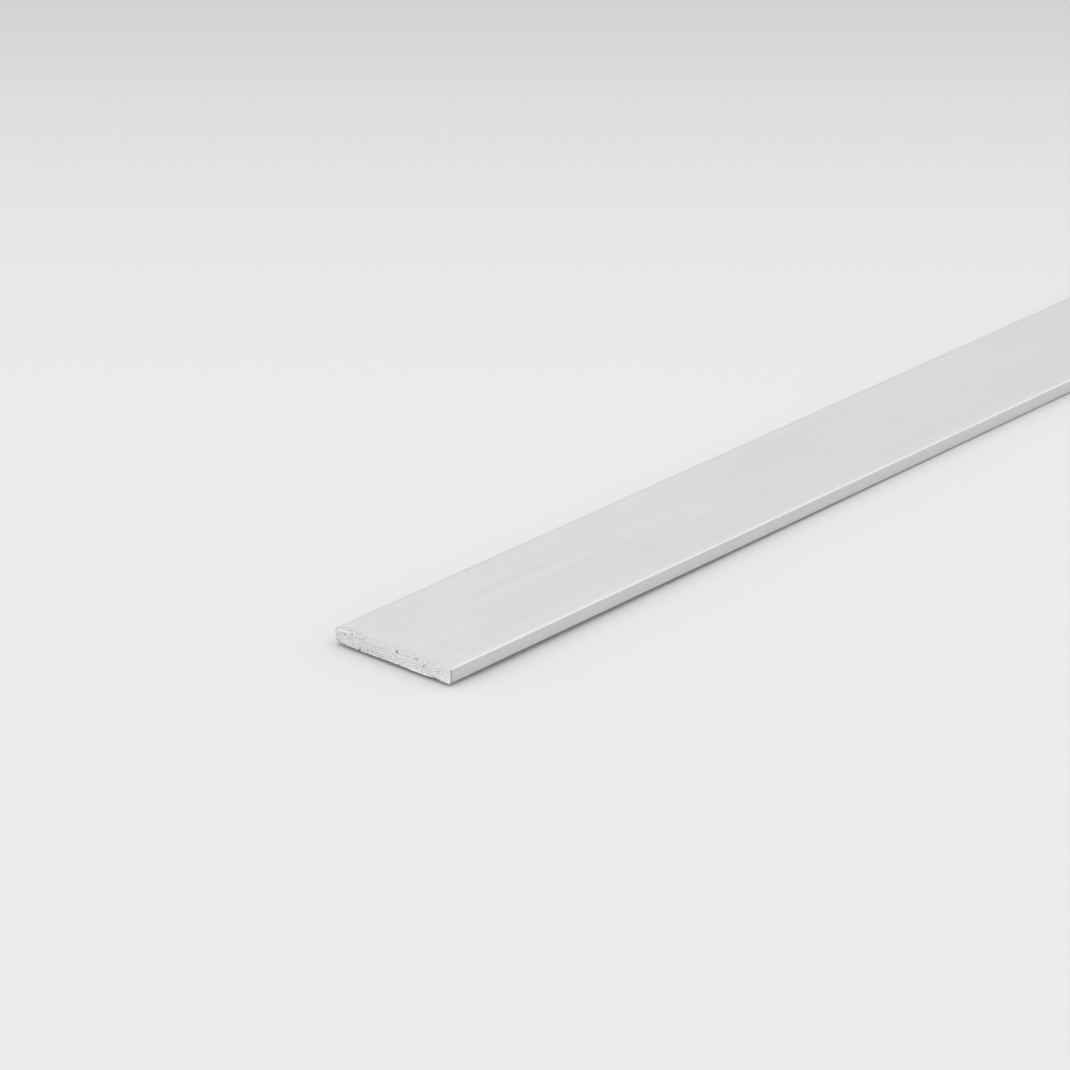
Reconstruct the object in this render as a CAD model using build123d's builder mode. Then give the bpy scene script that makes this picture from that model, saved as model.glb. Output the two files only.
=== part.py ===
from build123d import *
import os

# Aluminium flat bar: one extruded length, cut square at both ends. It is one solid.
# X runs along the bar, Y across its width and Z through its thickness.
# The origin is at the middle of the underside, so the bar lies on the plane Z = 0.

# Driving dimensions, in millimetres
bar_length = 1000.0  # a length that such bar is sold in
bar_width = 20.0
bar_thickness = 2.0
long_edge_radius = 0.2  # the extrusion die rounds all four long edges
end_roll_radius = 0.1  # the cut draws the lower edge of each end round

with BuildPart() as flat_bar:
    # The die's opening, a slim rectangle with rounded corners, gives the section.
    with BuildSketch(Plane.YZ) as section:
        RectangleRounded(
            bar_width,
            bar_thickness,
            long_edge_radius,
            align=(Align.CENTER, Align.MIN),
        )
    extrude(amount=bar_length / 2, both=True)

    # The side view trims both ends: square, with the upper edge left sharp
    # and the lower edge rolled under. It is drawn oversize at the top and
    # across the width, so it touches nothing but the ends and the underside.
    with BuildSketch(Plane.XZ) as side_view:
        Rectangle(bar_length, 2 * bar_thickness, align=(Align.CENTER, Align.MIN))
        lower_corners = side_view.vertices().group_by(Axis.Y)[0]
        fillet(lower_corners, end_roll_radius)
    extrude(amount=bar_width, both=True, mode=Mode.INTERSECT)

flat_bar.part.label = "flat_bar"
os.makedirs("parts", exist_ok=True)
export_step(flat_bar.part, "parts/flat_bar.step")
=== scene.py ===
import math

import bmesh
import bpy
from mathutils import Euler, Matrix, Vector


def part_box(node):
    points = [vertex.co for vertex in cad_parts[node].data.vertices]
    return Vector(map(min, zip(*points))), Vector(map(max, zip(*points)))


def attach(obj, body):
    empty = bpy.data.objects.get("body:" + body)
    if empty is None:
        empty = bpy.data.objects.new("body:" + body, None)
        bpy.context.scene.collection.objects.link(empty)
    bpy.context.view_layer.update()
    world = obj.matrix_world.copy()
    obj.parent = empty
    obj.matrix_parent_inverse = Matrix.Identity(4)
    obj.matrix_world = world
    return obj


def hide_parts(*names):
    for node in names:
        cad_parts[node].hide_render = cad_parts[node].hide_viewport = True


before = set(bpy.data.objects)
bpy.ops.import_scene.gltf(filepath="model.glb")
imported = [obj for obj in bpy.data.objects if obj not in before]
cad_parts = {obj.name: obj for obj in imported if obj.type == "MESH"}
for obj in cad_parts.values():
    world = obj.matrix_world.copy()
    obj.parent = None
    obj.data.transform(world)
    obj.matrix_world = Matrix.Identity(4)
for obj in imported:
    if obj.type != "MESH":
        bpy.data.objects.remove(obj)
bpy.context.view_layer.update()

mm = 0.001
tiny = 1e-9  # keeps a division away from zero
barLow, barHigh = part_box("flat_bar")
print("frame loaded, bar", [round(s / mm, 2) for s in barHigh - barLow], "mm")


def join(tree, value, socket):
    # another node's output is linked, a plain number or vector is set
    if isinstance(value, bpy.types.NodeSocket):
        tree.links.new(value, socket)
    else:
        socket.default_value = value


def calc(tree, operation, *values):
    node = tree.nodes.new("ShaderNodeMath")
    node.operation = operation
    for value, socket in zip(values, node.inputs):
        join(tree, value, socket)
    return node.outputs[0]


def addUp(tree, values):
    total = values[0]
    for value in values[1:]:
        total = calc(tree, "ADD", total, value)
    return total


def vector(tree, x, y, z):
    node = tree.nodes.new("ShaderNodeCombineXYZ")
    for value, socket in zip((x, y, z), node.inputs):
        join(tree, value, socket)
    return node.outputs[0]


def parts(tree, place):
    node = tree.nodes.new("ShaderNodeSeparateXYZ")
    tree.links.new(place, node.inputs[0])
    return node.outputs[0], node.outputs[1], node.outputs[2]


def noise(tree, place, seed, detail=2.0):
    # 4D noise about zero: one unit of place is one grain
    node = tree.nodes.new("ShaderNodeTexNoise")
    node.noise_dimensions = "4D"
    join(tree, place, node.inputs["Vector"])
    join(tree, seed, node.inputs["W"])
    node.inputs["Scale"].default_value = 1.0
    node.inputs["Detail"].default_value = detail
    return calc(tree, "SUBTRACT", node.outputs["Fac"], 0.5)


def ramp(tree, value, low, high, lowResult=0.0, highResult=1.0):
    # smooth step from lowResult at low to highResult at high
    node = tree.nodes.new("ShaderNodeMapRange")
    node.interpolation_type = "SMOOTHSTEP"
    for name, number in (
        ("Value", value),
        ("From Min", low),
        ("From Max", high),
        ("To Min", lowResult),
        ("To Max", highResult),
    ):
        join(tree, number, node.inputs[name])
    return node.outputs[0]


def fadeOut(tree, distance, reach):
    # 1 at no distance, then straight down to 0 at the reach
    left = calc(tree, "SUBTRACT", 1.0, calc(tree, "DIVIDE", distance, reach))
    return calc(tree, "MAXIMUM", left, 0.0)


bar = {
    "Length": barHigh.x - barLow.x,
    "Width": barHigh.y - barLow.y,
    "Thickness": barHigh.z - barLow.z,
    "Edge Radius": 0.2 * mm,  # left on the long edges by the die
    "Crown Depth": 0.04 * mm,  # the broad faces fall away a little beside the long edges
    "Crown Width": 0.9 * mm,
    "Rows Along": 41,
    "Rows Across": 481,
    "Rows Up": 53,
    "Crowding": 9.0,  # how strongly the rows crowd towards both ends
    "Out Of Square": 0.20 * mm,  # how far the cut runs off across the width
    "Rim Softness": 0.02 * mm,  # rounding of the cut's rim
    "Worn Softness": 0.24 * mm,  # of the rim at the far corner, at +Y, which is worn
    "Worn From": 5.5 * mm,  # how far across the wear begins
    "Corner Softness": 0.06 * mm,  # of the cut's upright edge at the near corner, at -Y
    "Worn Corner": 0.28 * mm,  # and at the far corner
    "Roll": 0.03 * mm,  # the cut draws the lower edge under
    "Tear Depth": 0.21 * mm,  # torn ridges that the saw leaves
    "Tear Length": 0.50 * mm,
    "Tear Pitch": 0.12 * mm,
    "Tear Slant": 0.35,  # rise over run, and how it bends across the width
    "Tear Radius": 17 * mm,
    "Tear Waver": 0.5 * mm,  # how far the ridges wander up and down
    "Stroke Depth": 0.035 * mm,  # even lines of the saw's strokes, in patches
    "Stroke Pitch": 0.40 * mm,
    "Stroke Patch": 1.2 * mm,
    "Patch From": -0.10,  # noise at which a patch begins, and is full
    "Patch Full": 0.15,
    "Grit Depth": 0.10 * mm,
    "Grit Size": 0.11 * mm,
    "Chip Waver": 3.0,  # how much the fine relief shoves the chips' outlines
    "Wave Depth": 0.08 * mm,
    "Wave Size": 2.6 * mm,
    "Ragged Depth": 0.16 * mm,  # along the upper rim
    "Ragged Size": 0.5 * mm,
    "Ragged Reach": 0.35 * mm,  # how far down from it
    "Reach": 0.9 * mm,  # how far in from the end the cut bends the skin
    "Bruise Depth": 0.26 * mm,  # dents that the cut leaves in the face above it
    "Bruise Size": 0.38 * mm,
    "Bruise Reach": 2.2 * mm,
    "Bruise Spread": 0.15,  # added to the noise: more of it leaves fewer flats
    "Bruise Fade": 0.8 * mm,  # the dents are gone this far below the face
    "Bruise From": 1.0 * mm,  # across, where the dents start to deepen
    "Bruise Full": 8.0 * mm,
    "Bruise Least": 0.25,  # share of their depth before that
    "Cut Facing": 0.9,  # faces turned this squarely towards an end belong to the cut
    "Seed": 4.0,
}

# the cut's patterns: how far apart they lie in the noise, so that no two are
# alike, and how much finer detail each has
cutPatterns = {
    "tears": {"slice": 0.0, "detail": 1.5},
    "grit": {"slice": 7.0, "detail": 1.0},
    "waves": {"slice": 13.0, "detail": 1.0},
    "ragged": {"slice": 21.0, "detail": 2.0},
    "waver": {"slice": 31.0, "detail": 1.0},
    "patches": {"slice": 41.0, "detail": 1.0},
}

# Nicks and chips of the end that faces -X, in mm: where each is across and up,
# its half size across and up, how far it leans over for each mm of height, and
# how deep it goes into the bar. One with a depth below zero stands proud.
chips = {
    "slit": {"across": -0.85, "up": 1.78, "half": (0.08, 0.20), "lean": -0.2, "deep": 0.50},
    "scuff": {"across": -4.25, "up": 1.80, "half": (0.40, 0.12), "lean": 0.0, "deep": 0.10},
    "gouge": {"across": -5.45, "up": 1.10, "half": (0.08, 0.20), "lean": -0.8, "deep": 0.24},
    "pit": {"across": -8.0, "up": 1.15, "half": (0.10, 0.13), "lean": -0.4, "deep": 0.15},
    "notch": {"across": 5.60, "up": 0.10, "half": (0.07, 0.18), "lean": -0.2, "deep": 0.45},
    "cornerPit": {"across": 8.15, "up": 1.60, "half": (0.18, 0.10), "lean": 0.0, "deep": 0.12},
    "rimPit": {"across": 6.90, "up": 1.90, "half": (0.12, 0.12), "lean": 0.0, "deep": 0.16},
    "lowCorner": {"across": 10.0, "up": 0.0, "half": (0.55, 0.42), "lean": 0.0, "deep": 0.36},
    "highCorner": {"across": 10.0, "up": 2.0, "half": (0.45, 0.35), "lean": 0.0, "deep": 0.07},
    "burr": {"across": -10.0, "up": 0.0, "half": (1.60, 1.20), "lean": 0.0, "deep": -0.05},
    "lip": {"across": -4.30, "up": 0.0, "half": (2.00, 0.20), "lean": 0.0, "deep": -0.07},
    "dip": {"across": -7.20, "up": 0.0, "half": (0.90, 0.20), "lean": 0.0, "deep": 0.09},
}


def rowPlaces(tree, place, sizes):
    # the cube's even rows crowd towards the ends, where the cut needs them
    along = place[0]
    fromEnd = calc(tree, "SUBTRACT", 1.0, calc(tree, "ABSOLUTE", along))
    grown = calc(tree, "EXPONENT", calc(tree, "MULTIPLY", fromEnd, sizes["Crowding"]))
    most = calc(tree, "EXPONENT", sizes["Crowding"])
    share = calc(
        tree,
        "DIVIDE",
        calc(tree, "SUBTRACT", grown, 1.0),
        calc(tree, "SUBTRACT", most, 1.0),
    )
    halfLength = calc(tree, "MULTIPLY", sizes["Length"], 0.5)
    inFromEnd = calc(tree, "MULTIPLY", share, halfLength)
    return calc(tree, "SIGN", along), inFromEnd, halfLength


def dieSection(tree, place, sizes):
    # the square section's corners are drawn in to the die's radius
    halves = [calc(tree, "MULTIPLY", sizes[n], 0.5) for n in ("Width", "Thickness")]
    cores, steps = [], []
    for side, half in zip(place[1:], halves):
        core = calc(tree, "SUBTRACT", half, sizes["Edge Radius"])
        at = calc(tree, "MULTIPLY", side, half)
        least = calc(tree, "MULTIPLY", core, -1.0)
        held = calc(tree, "MINIMUM", calc(tree, "MAXIMUM", at, least), core)
        cores.append(held)
        steps.append(calc(tree, "SUBTRACT", at, held))
    longest = calc(
        tree,
        "MAXIMUM",
        calc(tree, "ABSOLUTE", steps[0]),
        calc(tree, "ABSOLUTE", steps[1]),
    )
    squares = [calc(tree, "MULTIPLY", s, s) for s in steps]
    length = calc(tree, "SQRT", calc(tree, "ADD", squares[0], squares[1]))
    scale = calc(tree, "DIVIDE", longest, calc(tree, "MAXIMUM", length, tiny))
    across, up = [
        calc(tree, "ADD", core, calc(tree, "MULTIPLY", step, scale))
        for core, step in zip(cores, steps)
    ]
    fromSide = calc(tree, "SUBTRACT", halves[0], calc(tree, "ABSOLUTE", across))
    near = fadeOut(tree, fromSide, sizes["Crown Width"])
    drop = calc(tree, "DIVIDE", sizes["Crown Depth"], halves[1])
    drop = calc(tree, "MULTIPLY", drop, calc(tree, "MULTIPLY", near, near))
    up = calc(tree, "MULTIPLY", up, calc(tree, "SUBTRACT", 1.0, drop))
    return across, calc(tree, "ADD", up, halves[1])


def rimDistance(tree, across, up, sizes):
    # how far a point of the section lies inside its outline
    core = [
        calc(tree, "SUBTRACT", calc(tree, "MULTIPLY", sizes[n], 0.5), sizes["Edge Radius"])
        for n in ("Width", "Thickness")
    ]
    middle = calc(tree, "SUBTRACT", up, calc(tree, "MULTIPLY", sizes["Thickness"], 0.5))
    over = [
        calc(tree, "SUBTRACT", calc(tree, "ABSOLUTE", side), c)
        for side, c in zip((across, middle), core)
    ]
    outside = [calc(tree, "MAXIMUM", o, 0.0) for o in over]
    length = calc(
        tree,
        "SQRT",
        addUp(tree, [calc(tree, "MULTIPLY", o, o) for o in outside]),
    )
    inside = calc(tree, "MINIMUM", calc(tree, "MAXIMUM", over[0], over[1]), 0.0)
    return calc(tree, "SUBTRACT", sizes["Edge Radius"], calc(tree, "ADD", length, inside))


def quarterRound(tree, distance, radius):
    # how far a round of this radius pulls back at this distance from the edge
    left = calc(tree, "MAXIMUM", calc(tree, "SUBTRACT", radius, distance), 0.0)
    chord = calc(
        tree,
        "SUBTRACT",
        calc(tree, "MULTIPLY", radius, radius),
        calc(tree, "MULTIPLY", left, left),
    )
    return calc(tree, "SUBTRACT", radius, calc(tree, "SQRT", calc(tree, "MAXIMUM", chord, 0.0)))


def sawnFace(tree, end, across, up, sizes):
    # depth of the sawn face below the plane of the cut, at every point of the
    # section, and how much of it is fine relief
    seed = calc(tree, "ADD", sizes["Seed"], end)

    def patterned(name, sizeAcross, sizeUp, rise=None):
        height = up if rise is None else calc(tree, "ADD", up, rise)
        place = vector(
            tree,
            calc(tree, "DIVIDE", across, sizes[sizeAcross]),
            calc(tree, "DIVIDE", height, sizes[sizeUp]),
            cutPatterns[name]["slice"],
        )
        return noise(tree, place, seed, cutPatterns[name]["detail"])

    waver = patterned("waver", "Wave Size", "Wave Size")
    waver = calc(tree, "MULTIPLY", waver, sizes["Tear Waver"])
    bend = calc(tree, "DIVIDE", across, calc(tree, "MULTIPLY", sizes["Tear Radius"], 2.0))
    climb = calc(tree, "MULTIPLY", across, calc(tree, "ADD", sizes["Tear Slant"], bend))
    climb = calc(tree, "ADD", waver, climb)
    tears = patterned("tears", "Tear Length", "Tear Pitch", climb)
    turn = calc(tree, "DIVIDE", calc(tree, "ADD", up, climb), sizes["Stroke Pitch"])
    strokes = calc(tree, "SINE", calc(tree, "MULTIPLY", turn, math.tau))
    patches = patterned("patches", "Stroke Patch", "Stroke Patch")
    patches = ramp(tree, patches, sizes["Patch From"], sizes["Patch Full"])
    strokes = calc(tree, "MULTIPLY", strokes, patches)
    grit = patterned("grit", "Grit Size", "Grit Size")
    waves = patterned("waves", "Wave Size", "Ragged Size")
    fine = addUp(
        tree,
        [
            calc(tree, "MULTIPLY", tears, sizes["Tear Depth"]),
            calc(tree, "MULTIPLY", grit, sizes["Grit Depth"]),
            calc(tree, "MULTIPLY", strokes, sizes["Stroke Depth"]),
        ],
    )
    broad = calc(tree, "MULTIPLY", waves, sizes["Wave Depth"])
    below = calc(tree, "SUBTRACT", sizes["Thickness"], up)
    nearTop = ramp(tree, below, 0.0, sizes["Ragged Reach"], 1.0, 0.0)
    ragged = patterned("ragged", "Ragged Size", "Wave Size")
    ragged = calc(tree, "MULTIPLY", ragged, sizes["Ragged Depth"])
    ragged = calc(tree, "MULTIPLY", ragged, nearTop)

    halfWidth = calc(tree, "MULTIPLY", sizes["Width"], 0.5)
    softness, cornerSoftness = [
        ramp(tree, across, sizes["Worn From"], halfWidth, sizes[near], sizes[far])
        for near, far in (
            ("Rim Softness", "Worn Softness"),
            ("Corner Softness", "Worn Corner"),
        )
    ]
    soft = quarterRound(tree, rimDistance(tree, across, up, sizes), softness)
    fromSide = calc(tree, "SUBTRACT", halfWidth, calc(tree, "ABSOLUTE", across))
    corner = quarterRound(tree, fromSide, cornerSoftness)
    roll = quarterRound(tree, up, sizes["Roll"])
    skew = calc(tree, "DIVIDE", calc(tree, "MULTIPLY", across, end), sizes["Width"])
    skew = calc(tree, "MULTIPLY", calc(tree, "SUBTRACT", skew, 0.5), sizes["Out Of Square"])
    deep = chipped(tree, end, across, up, calc(tree, "MULTIPLY", fine, sizes["Chip Waver"]))
    depth = addUp(tree, [fine, broad, ragged, soft, corner, roll, skew, deep])
    return depth, calc(tree, "ADD", fine, deep)


def bruised(tree, inFromEnd, across, up, sizes):
    # the cut also dents the upper face beside it, most towards the far corner
    place = vector(
        tree,
        calc(tree, "DIVIDE", across, sizes["Bruise Size"]),
        calc(tree, "DIVIDE", inFromEnd, sizes["Bruise Size"]),
        0.0,
    )
    dents = calc(tree, "ADD", noise(tree, place, sizes["Seed"]), sizes["Bruise Spread"])
    dents = calc(tree, "MULTIPLY", calc(tree, "MAXIMUM", dents, 0.0), sizes["Bruise Depth"])
    near = fadeOut(tree, inFromEnd, sizes["Bruise Reach"])
    worn = ramp(
        tree, across, sizes["Bruise From"], sizes["Bruise Full"], sizes["Bruise Least"], 1.0
    )
    near = calc(tree, "MULTIPLY", near, worn)
    lowest = calc(tree, "SUBTRACT", sizes["Thickness"], sizes["Bruise Fade"])
    top = ramp(tree, up, lowest, sizes["Thickness"])
    return calc(tree, "MULTIPLY", dents, calc(tree, "MULTIPLY", near, top))


def chipped(tree, end, across, up, shove):
    # soft-edged pits with uneven outlines, only on the end that faces -X
    depths = []
    for chip in chips.values():
        rise = calc(tree, "SUBTRACT", calc(tree, "ADD", up, shove), chip["up"] * mm)
        aside = calc(tree, "SUBTRACT", across, chip["across"] * mm)
        aside = calc(tree, "SUBTRACT", aside, calc(tree, "MULTIPLY", rise, chip["lean"]))
        fall = []
        for away, half in zip((aside, rise), chip["half"]):
            off = calc(tree, "DIVIDE", away, half * mm)
            fall.append(calc(tree, "MULTIPLY", off, off))
        spread = calc(tree, "EXPONENT", calc(tree, "MULTIPLY", addUp(tree, fall), -1.0))
        depths.append(calc(tree, "MULTIPLY", spread, chip["deep"] * mm))
    here = calc(tree, "LESS_THAN", end, 0.0)
    return calc(tree, "MULTIPLY", addUp(tree, depths), here)


def stored(tree, geometry, name, kind, domain, value):
    # keeps a value on the mesh, for the materials to read
    node = tree.nodes.new("GeometryNodeStoreNamedAttribute")
    node.data_type = kind
    node.domain = domain
    node.inputs["Name"].default_value = name
    tree.links.new(geometry, node.inputs["Geometry"])
    tree.links.new(value, node.inputs["Value"])
    return node.outputs[0]


def buildBarTree():
    tree = bpy.data.node_groups.new("sawnBar", "GeometryNodeTree")
    face = tree.interface
    for name in bar:
        kind = "NodeSocketInt" if name.startswith("Rows") else "NodeSocketFloat"
        face.new_socket(name=name, in_out="INPUT", socket_type=kind)
    for name in ("Skin", "Cut"):
        face.new_socket(name=name, in_out="INPUT", socket_type="NodeSocketMaterial")
    face.new_socket(name="Geometry", in_out="OUTPUT", socket_type="NodeSocketGeometry")

    sizes = tree.nodes.new("NodeGroupInput").outputs
    block = tree.nodes.new("GeometryNodeMeshCube")
    block.inputs["Size"].default_value = (2.0, 2.0, 2.0)  # from -1 to 1 each way
    for name, socket in zip(("Rows Along", "Rows Across", "Rows Up"), block.inputs[1:4]):
        tree.links.new(sizes[name], socket)
    place = parts(tree, tree.nodes.new("GeometryNodeInputPosition").outputs[0])

    end, inFromEnd, halfLength = rowPlaces(tree, place, sizes)
    across, up = dieSection(tree, place, sizes)
    depth, fine = sawnFace(tree, end, across, up, sizes)
    fade = fadeOut(tree, inFromEnd, sizes["Reach"])
    pulled = calc(tree, "MULTIPLY", depth, calc(tree, "MULTIPLY", fade, fade))
    fromMiddle = calc(tree, "SUBTRACT", halfLength, calc(tree, "ADD", inFromEnd, pulled))
    along = calc(tree, "MULTIPLY", end, fromMiddle)
    dent = bruised(tree, inFromEnd, across, up, sizes)
    up = calc(tree, "SUBTRACT", up, dent)

    # the faces of the block's two ends wear the cut's material
    normal = parts(tree, tree.nodes.new("GeometryNodeInputNormal").outputs[0])
    isCut = calc(tree, "GREATER_THAN", calc(tree, "ABSOLUTE", normal[0]), sizes["Cut Facing"])
    marked = stored(tree, block.outputs["Mesh"], "cut", "BOOLEAN", "FACE", isCut)
    marked = stored(tree, marked, "hollow", "FLOAT", "POINT", calc(tree, "DIVIDE", fine, mm))

    shaped = tree.nodes.new("GeometryNodeSetPosition")
    tree.links.new(marked, shaped.inputs["Geometry"])
    tree.links.new(vector(tree, along, across, up), shaped.inputs["Position"])
    smooth = tree.nodes.new("GeometryNodeSetShadeSmooth")
    tree.links.new(shaped.outputs[0], smooth.inputs["Geometry"])
    realized = tree.nodes.new("GeometryNodeRealizeInstances")
    tree.links.new(smooth.outputs[0], realized.inputs[0])
    skinned = tree.nodes.new("GeometryNodeSetMaterial")
    tree.links.new(realized.outputs[0], skinned.inputs["Geometry"])
    tree.links.new(sizes["Skin"], skinned.inputs["Material"])
    asCut = tree.nodes.new("GeometryNodeInputNamedAttribute")
    asCut.data_type = "BOOLEAN"
    asCut.inputs["Name"].default_value = "cut"
    sawn = tree.nodes.new("GeometryNodeSetMaterial")
    tree.links.new(skinned.outputs[0], sawn.inputs["Geometry"])
    tree.links.new(asCut.outputs[0], sawn.inputs["Selection"])
    tree.links.new(sizes["Cut"], sawn.inputs["Material"])
    out = tree.nodes.new("NodeGroupOutput")
    tree.links.new(sawn.outputs[0], out.inputs["Geometry"])
    return tree


def makeBar(skin, cut):
    tree = buildBarTree()
    holder = bpy.data.objects.new("bar", bpy.data.meshes.new("bar"))
    bpy.context.scene.collection.objects.link(holder)
    modifier = holder.modifiers.new("sawnBar", "NODES")
    modifier.node_group = tree
    values = {**bar, "Skin": skin, "Cut": cut}
    for item in tree.interface.items_tree:
        if item.in_out == "INPUT":
            modifier[item.identifier] = values[item.name]
    shaped = holder.evaluated_get(bpy.context.evaluated_depsgraph_get())
    mesh = bpy.data.meshes.new_from_object(shaped)
    holder.modifiers.remove(modifier)
    if mesh.materials[0] is None:  # the block's own empty slot, which no face wears
        mesh.materials.pop(index=0)
    holder.data = mesh
    mesh.name = "bar"
    print("bar meshed:", len(mesh.polygons), "faces,", len(mesh.materials), "materials")
    return holder


skinFinish = {
    "colour": (0.791, 0.801, 0.809),
    "roughness": 0.36,
    "sideShadeTone": -0.115,  # painted shade: the narrow sides are a little darker
    "alongLines": 0.6,  # how much the die's lines stretch the sheen
    "lineLength": 26 * mm,
    "linePitch": 0.36 * mm,
    "lineHeight": 0.003 * mm,
    "grainLength": 0.42 * mm,
    "grainWidth": 0.36 * mm,
    "bandLength": 500 * mm,
    "bandWidth": 1.7 * mm,
    "cloudLength": 16 * mm,
    "cloudWidth": 9 * mm,
    "lineTone": 0.10,  # how much each pattern changes the colour
    "grainTone": 0.10,
    "bandTone": 0.03,
    "cloudTone": 0.02,
    "lineSheen": 0.08,  # and the roughness
    "scarSize": 0.34 * mm,  # the cut scuffs the skin beside it
    "scarReach": 3.2 * mm,
    "scarTone": 1.4,
    "scarHeight": 42.0,  # how much rougher it is there than the die's lines
    "wornFrom": 1.0 * mm,  # across, where the scuffs start to deepen
    "wornFull": 8.5 * mm,
    "wornLeast": 0.12,  # share of their depth before that
    "brimReach": 1.8 * mm,  # painted shade: the skin is darker this far beside the cut, up to twice as much towards the far corner at +Y, where it dims the worn corner's highlight
    "brimShadeTone": -0.05,
    "edgeReach": 0.6 * mm,  # painted shade: the sides are darker this close to the cut's sharp edge
    "edgeShadeTone": -0.26,
    "detail": 3.0,  # how much finer detail the patterns have
    "seed": 2.0,
}
cutFinish = {
    "colour": (0.912, 0.921, 0.924),
    "tearShadeColour": (0.50, 0.51, 0.515),  # painted shade down in the tears
    "deepAt": 0.10,  # how far down that is, in mm
    "paleAt": -0.04,
    "roughness": 0.48,
    "grainSize": 0.09 * mm,
    "grainHeight": 0.013 * mm,
    "grainTone": 0.15,
    "grainSheen": 0.15,
    "rimReach": 0.28 * mm,  # painted highlight along the cut's upright edge at -Y
    "rimHighlightTone": 0.10,
    "detail": 3.0,
    "seed": 9.0,
}


def newMaterial(name):
    material = bpy.data.materials.new(name)
    material.use_nodes = True
    tree = material.node_tree
    shader = tree.nodes["Principled BSDF"]
    return material, tree, shader


def tinted(tree, colour, tone):
    # the colour made lighter or darker: tone is about zero
    node = tree.nodes.new("ShaderNodeVectorMath")
    node.operation = "SCALE"
    join(tree, colour, node.inputs[0])
    tree.links.new(calc(tree, "ADD", tone, 1.0), node.inputs["Scale"])
    return node.outputs[0]


def bumped(tree, shader, height, distance):
    node = tree.nodes.new("ShaderNodeBump")
    node.inputs["Distance"].default_value = distance
    tree.links.new(height, node.inputs["Height"])
    tree.links.new(node.outputs[0], shader.inputs["Normal"])


def stretched(tree, place, along, across):
    # object coordinates counted in grains, long along the bar
    return vector(
        tree,
        calc(tree, "DIVIDE", place[0], along),
        calc(tree, "DIVIDE", place[1], across),
        calc(tree, "DIVIDE", place[2], across),
    )


def beside(tree, at, size, reach):
    # 1 at both ends of that side of the bar, fading to nothing this far in
    half = bar[size] / 2
    return ramp(tree, calc(tree, "ABSOLUTE", at), half - reach, half)


def millSkin():
    # drawn lines from the die, with slow bands and faint clouds in the mill finish
    finish = skinFinish
    material, tree, shader = newMaterial("millSkin")
    place = parts(tree, tree.nodes.new("ShaderNodeTexCoord").outputs["Object"])
    patterns = (
        ("lineLength", "linePitch"),
        ("grainLength", "grainWidth"),
        ("bandLength", "bandWidth"),
        ("cloudLength", "cloudWidth"),
        ("scarSize", "scarSize"),
    )
    lines, grain, bands, clouds, scars = [
        noise(
            tree,
            stretched(tree, place, finish[length], finish[width]),
            finish["seed"] + n,
            finish["detail"],
        )
        for n, (length, width) in enumerate(patterns)
    ]
    worn = ramp(
        tree, place[1], finish["wornFrom"], finish["wornFull"], finish["wornLeast"], 1.0
    )
    scars = calc(tree, "MULTIPLY", scars, beside(tree, place[0], "Length", finish["scarReach"]))
    scars = calc(tree, "MULTIPLY", scars, worn)
    # painted shade: the narrow sides are darker, and darker still close to the cut
    side = beside(tree, place[1], "Width", bar["Edge Radius"])
    edge = calc(tree, "MULTIPLY", side, beside(tree, place[0], "Length", finish["edgeReach"]))
    # painted shade beside the cut, strongest at the far corner, where it dims the worn corner's
    # highlight
    brim = beside(tree, place[0], "Length", finish["brimReach"])
    brim = calc(tree, "MULTIPLY", brim, calc(tree, "ADD", worn, 1.0))
    tones = {
        "lineTone": lines,
        "grainTone": grain,
        "bandTone": bands,
        "cloudTone": clouds,
        "scarTone": scars,
        "sideShadeTone": side,
        "edgeShadeTone": edge,
        "brimShadeTone": brim,
    }
    tone = addUp(tree, [calc(tree, "MULTIPLY", tones[name], finish[name]) for name in tones])
    tree.links.new(tinted(tree, finish["colour"], tone), shader.inputs["Base Color"])
    sheen = calc(tree, "MULTIPLY", calc(tree, "ADD", lines, clouds), finish["lineSheen"])
    tree.links.new(calc(tree, "ADD", sheen, finish["roughness"]), shader.inputs["Roughness"])
    rough = calc(tree, "ADD", lines, calc(tree, "MULTIPLY", scars, finish["scarHeight"]))
    bumped(tree, shader, rough, finish["lineHeight"])
    shader.inputs["Metallic"].default_value = 1.0
    shader.inputs["Anisotropic"].default_value = finish["alongLines"]
    tangent = tree.nodes.new("ShaderNodeTangent")
    tangent.direction_type = "RADIAL"
    tangent.axis = "X"
    tree.links.new(tangent.outputs[0], shader.inputs["Tangent"])
    return material


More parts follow.
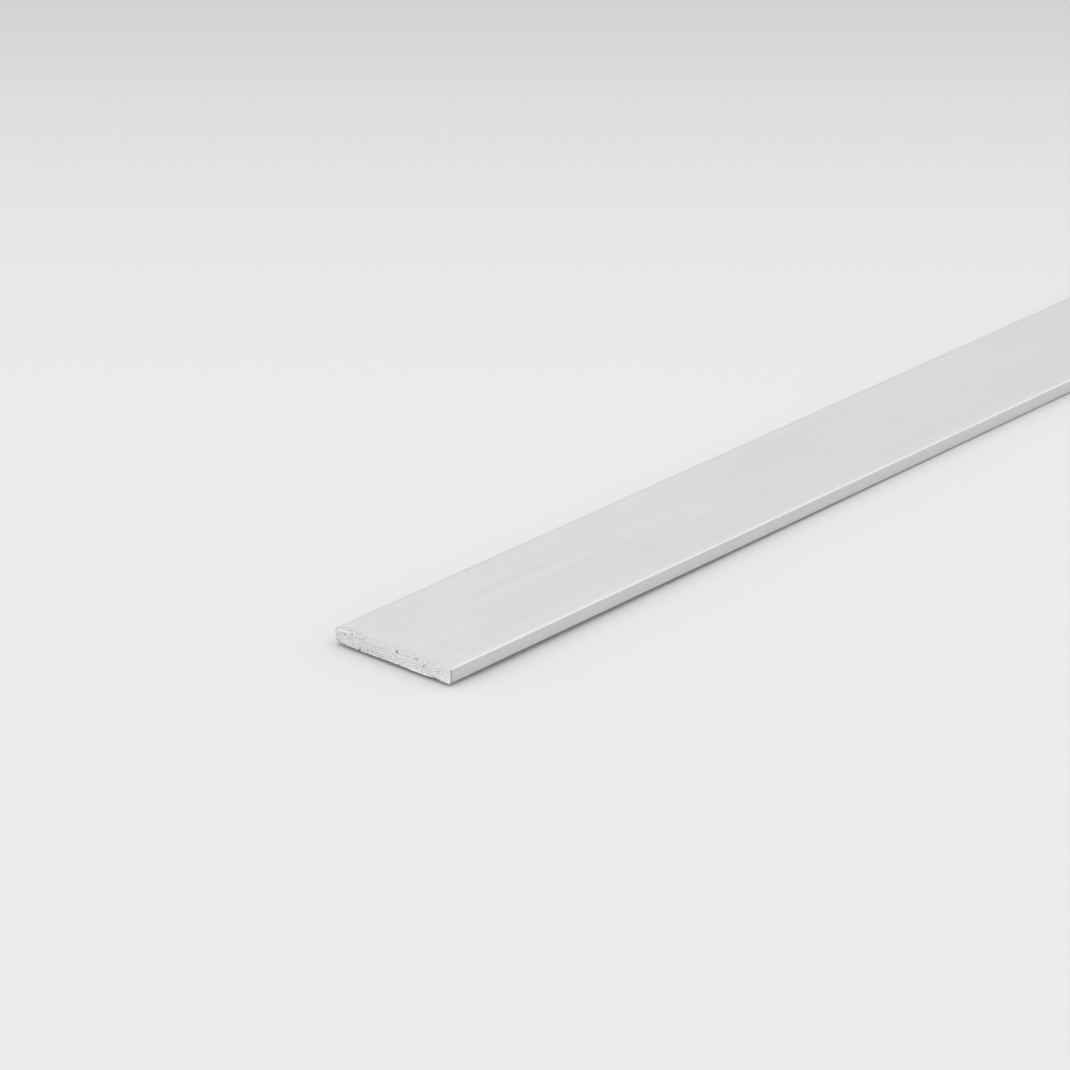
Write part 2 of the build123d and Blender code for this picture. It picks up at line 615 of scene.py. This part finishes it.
def sawnCut():
    # bright torn metal, with painted shade down in the tears
    finish = cutFinish
    material, tree, shader = newMaterial("sawnCut")
    place = parts(tree, tree.nodes.new("ShaderNodeTexCoord").outputs["Object"])
    grains = stretched(tree, place, finish["grainSize"], finish["grainSize"])
    grain = noise(tree, grains, finish["seed"], finish["detail"])
    hollow = tree.nodes.new("ShaderNodeAttribute")
    hollow.attribute_name = "hollow"
    # painted shade: the colour darkens with the depth of the tears
    mix = tree.nodes.new("ShaderNodeMix")
    mix.data_type = "RGBA"
    deep = ramp(tree, hollow.outputs["Fac"], finish["paleAt"], finish["deepAt"])
    tree.links.new(deep, mix.inputs["Factor"])
    colourA, colourB = [s for s in mix.inputs if s.type == "RGBA"]
    for socket, name in ((colourA, "colour"), (colourB, "tearShadeColour")):
        socket.default_value = (*finish[name], 1.0)
    (mixed,) = [s for s in mix.outputs if s.type == "RGBA"]
    halfWidth = bar["Width"] / 2
    # painted highlight: the cut is lighter along its upright edge at -Y
    rim = ramp(tree, place[1], -halfWidth, finish["rimReach"] - halfWidth, finish["rimHighlightTone"], 0.0)
    tone = calc(tree, "ADD", calc(tree, "MULTIPLY", grain, finish["grainTone"]), rim)
    tree.links.new(tinted(tree, mixed, tone), shader.inputs["Base Color"])
    sheen = calc(tree, "MULTIPLY", grain, finish["grainSheen"])
    tree.links.new(calc(tree, "ADD", sheen, finish["roughness"]), shader.inputs["Roughness"])
    bumped(tree, shader, grain, finish["grainHeight"])
    shader.inputs["Metallic"].default_value = 1.0
    return material


flatBar = makeBar(millSkin(), sawnCut())
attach(flatBar, "root")
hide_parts("flat_bar")


view = {
    "lens": 177.6,  # this and the sensor's width in mm
    "sensor": 36.0,
    "pitch": math.radians(23.485),
    "heading": math.radians(41.482),  # from the bar's length towards its width
    "roll": math.radians(0.076),
    "aim": Vector((-0.45716, 0.01355, -0.00002)),  # this and the rest in metres
    "distance": 0.7127,
    "clipNear": 0.01,
    "clipFar": 100.0,
}


studio = {
    "floorRadius": 40.0,  # sizes without mm are in metres
    "floorRings": 90,
    "floorSpokes": 120,
    "floorFinest": 2 * mm,
    # the floor dips under the sawn end: deepest this far in from the end, it rises
    # over these lengths along the bar, ahead of the end and to both sides
    "dipAt": 9 * mm,
    "dipAlong": 110 * mm,
    "dipAhead": 13 * mm,
    "dipAside": 60 * mm,
    "dipDepth": 0.57 * mm,
    "dipAheadLeft": 0.38,  # share of the depth that is left ahead of the end
    "floorGap": 0.11 * mm,  # under the whole bar, which rests on its high spots
    "floorPale": 0.825,  # close to the bar
    "floorShade": 0.695,  # behind the bar
    "shadeFrom": 20 * mm,  # how far back the shade begins, and where it has that tone
    "shadeFull": 200 * mm,
    "shadeMost": 1.9,  # further back it deepens to this many times as much
    "shadeEase": 1.2,  # how softly it stops deepening there
    "sky": 0.68,  # how bright the even sky is
    # soft lamps: degrees round from the bar's length, degrees up, half width in
    # degrees, and how bright the lamp's disc is, on the same scale as the sky
    "lamps": {
        "overhead": (10.0, 75.0, 45.0, 0.59),
        "alongSide": (-20.0, 10.0, 20.0, 0.59),
        "facingEnd": (138.0, 12.0, 25.0, 0.74),
    },
}


def eased(distance, reach):
    # falls smoothly from 1 at no distance to 0 at the reach
    share = min(max(distance / reach, 0.0), 1.0)
    return 1.0 - share * share * (3.0 - 2.0 * share)


def floorDip(x, y):
    # how far the floor lies below the bar's underside, x counted from the deepest place
    if x < 0.0:
        left = studio["dipAheadLeft"]
        ahead = eased(-x, studio["dipAhead"])
        along = left * eased(-x, studio["dipAlong"]) + (1.0 - left) * ahead
    else:
        along = eased(x, studio["dipAlong"])
    return studio["floorGap"] + studio["dipDepth"] * along * eased(abs(y), studio["dipAside"])


def makeFloor():
    # rings round the sawn end, where the floor dips a little and leaves a thin gap
    middle = Vector((barLow.x + studio["dipAt"], 0.0, 0.0))
    mesh = bmesh.new()
    rings = []
    for ring in range(studio["floorRings"]):
        share = ring / (studio["floorRings"] - 1)
        radius = studio["floorFinest"] * (studio["floorRadius"] / studio["floorFinest"]) ** share
        corners = []
        for spoke in range(studio["floorSpokes"]):
            turn = math.tau * spoke / studio["floorSpokes"]
            x = radius * math.cos(turn)
            y = radius * math.sin(turn)
            corners.append(mesh.verts.new(middle + Vector((x, y, -floorDip(x, y)))))
        rings.append(corners)
    mesh.faces.new(rings[0])
    for inner, outer in zip(rings, rings[1:]):
        for n in range(studio["floorSpokes"]):
            mesh.faces.new((inner[n - 1], outer[n - 1], outer[n], inner[n]))
    data = bpy.data.meshes.new("floor")
    mesh.to_mesh(data)
    mesh.free()
    data.shade_smooth()
    floor = bpy.data.objects.new("floor", data)
    bpy.context.scene.collection.objects.link(floor)
    data.materials.append(paleFloor())


def paleFloor():
    # painted shade: palest round the bar, a little darker behind it, as light falls off over a
    # sweep of paper
    material, tree, shader = newMaterial("paleFloor")
    at = parts(tree, tree.nodes.new("ShaderNodeTexCoord").outputs["Object"])
    heading = (math.cos(view["heading"]), math.sin(view["heading"]))
    back = addUp(
        tree,
        [
            calc(tree, "MULTIPLY", calc(tree, "SUBTRACT", side, aim), turn)
            for side, aim, turn in zip(at, view["aim"], heading)
        ],
    )
    back = calc(tree, "SUBTRACT", back, studio["shadeFrom"])
    share = calc(tree, "DIVIDE", back, studio["shadeFull"] - studio["shadeFrom"])
    share = calc(tree, "MAXIMUM", share, 0.0)
    share = calc(tree, "MULTIPLY", share, share)
    share = calc(tree, "SMOOTH_MIN", share, studio["shadeMost"], studio["shadeEase"])
    drop = calc(tree, "MULTIPLY", share, studio["floorPale"] - studio["floorShade"])
    colour = calc(tree, "SUBTRACT", studio["floorPale"], drop)
    tree.links.new(colour, shader.inputs["Base Color"])
    shader.inputs["Roughness"].default_value = 1.0
    shader.inputs["Specular IOR Level"].default_value = 0.0
    return material


def makeSky():
    # the same pale grey all round
    world = bpy.data.worlds.new("studio")
    world.use_nodes = True
    background = world.node_tree.nodes["Background"]
    background.inputs["Color"].default_value = (1.0, 1.0, 1.0, 1.0)
    background.inputs["Strength"].default_value = studio["sky"]
    bpy.context.scene.world = world


def makeLamps():
    for name, (turn, up, half, bright) in studio["lamps"].items():
        lamp = bpy.data.objects.new(name, bpy.data.lights.new(name, "SUN"))
        lamp.data.angle = math.radians(2 * half)
        lamp.data.energy = math.pi * bright * math.sin(math.radians(half)) ** 2
        level = math.cos(math.radians(up))
        away = Vector(
            (
                level * math.cos(math.radians(turn)),
                level * math.sin(math.radians(turn)),
                math.sin(math.radians(up)),
            )
        )
        lamp.rotation_mode = "QUATERNION"
        lamp.rotation_quaternion = away.to_track_quat("Z", "Y")
        bpy.context.scene.collection.objects.link(lamp)


def makeCamera():
    camera = bpy.data.objects.new("camera", bpy.data.cameras.new("camera"))
    camera.data.lens = view["lens"]
    camera.data.sensor_width = view["sensor"]
    camera.data.clip_start = view["clipNear"]
    camera.data.clip_end = view["clipFar"]
    away = Vector(
        (
            math.cos(view["heading"]) * math.cos(view["pitch"]),
            math.sin(view["heading"]) * math.cos(view["pitch"]),
            -math.sin(view["pitch"]),
        )
    )
    camera.location = view["aim"] - away * view["distance"]
    level = Euler((math.pi / 2 - view["pitch"], 0.0, view["heading"] - math.pi / 2))
    turned = level.to_matrix() @ Matrix.Rotation(view["roll"], 3, "Z")
    camera.rotation_euler = turned.to_euler()
    bpy.context.scene.collection.objects.link(camera)
    bpy.context.scene.camera = camera


makeFloor()
print("floor laid, with a dip of", round(studio["dipDepth"] / mm, 2), "mm under the end")
makeSky()
makeLamps()
print("sky and", len(studio["lamps"]), "soft lamps placed")
makeCamera()
print("camera placed")
bpy.context.scene.view_settings.view_transform = "Standard"
